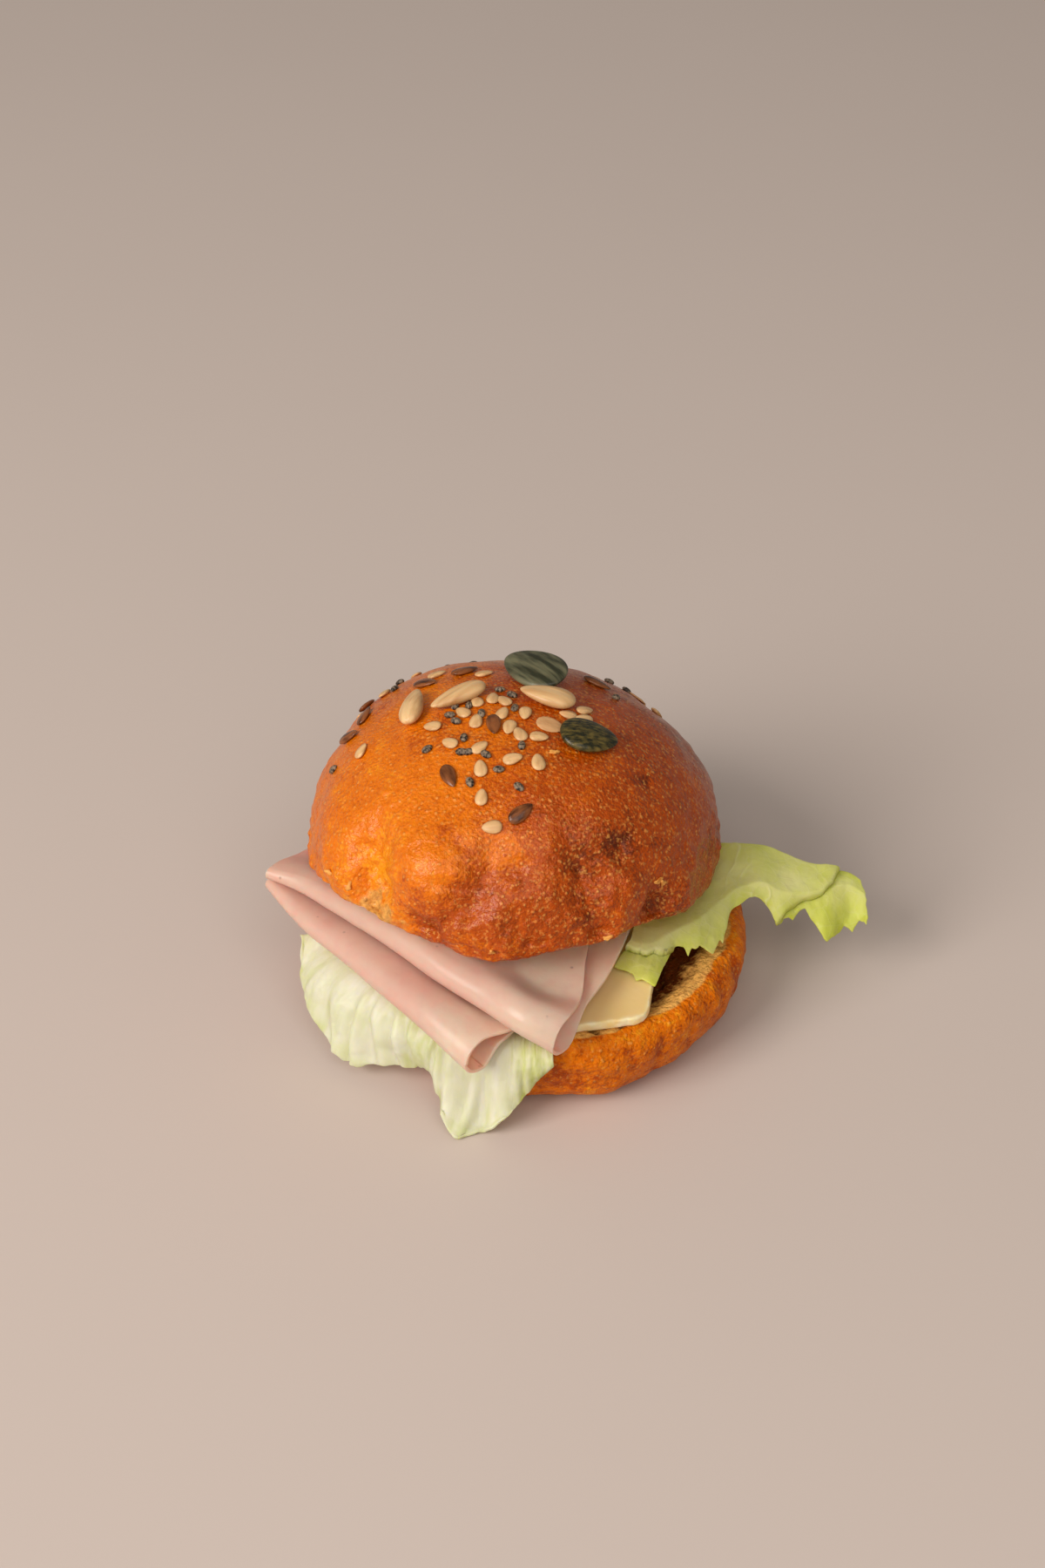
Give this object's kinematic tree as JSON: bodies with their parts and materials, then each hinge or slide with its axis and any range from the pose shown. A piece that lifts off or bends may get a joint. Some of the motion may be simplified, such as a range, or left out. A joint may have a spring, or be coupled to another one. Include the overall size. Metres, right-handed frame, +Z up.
{
  "type": "brioche sandwich",
  "caption": "Seeded brioche roll, cut in two and filled with cheese, folded slices of ham and lettuce that hangs out at the front and at the side.",
  "frame": {"origin": "middle of the flat underside of the heel, the roll's lower half", "axes": "+Z up, +X to the right of the sandwich's front, +Y to its back"},
  "size_m": [0.1137, 0.0903, 0.0629],
  "materials": {
    "heel": "brown crust below and torn crumb on top",
    "crust": "egg-washed golden crust",
    "cheese": "smooth semi-hard cheese",
    "ham": "moist cooked ham",
    "lettuce_pale": "pale crisp leaf with ribs",
    "lettuce_green": "green ruffled leaf",
    "dark_seed": "dark green seed skin",
    "pale_seed": "toasted kernel"
  },
  "bodies": {
    "root": {"bun_heel": "heel", "bun_crown": "crust", "cheese_slice": "cheese", "ham_slice_lower": "ham", "ham_slice_upper": "ham", "lettuce_front": "lettuce_pale", "lettuce_side": "lettuce_green", "pumpkin_seed_1": "dark_seed", "pumpkin_seed_2": "dark_seed", "sunflower_kernel_1": "pale_seed", "sunflower_kernel_2": "pale_seed", "sunflower_kernel_3": "pale_seed"}
  },
  "joints": []
}
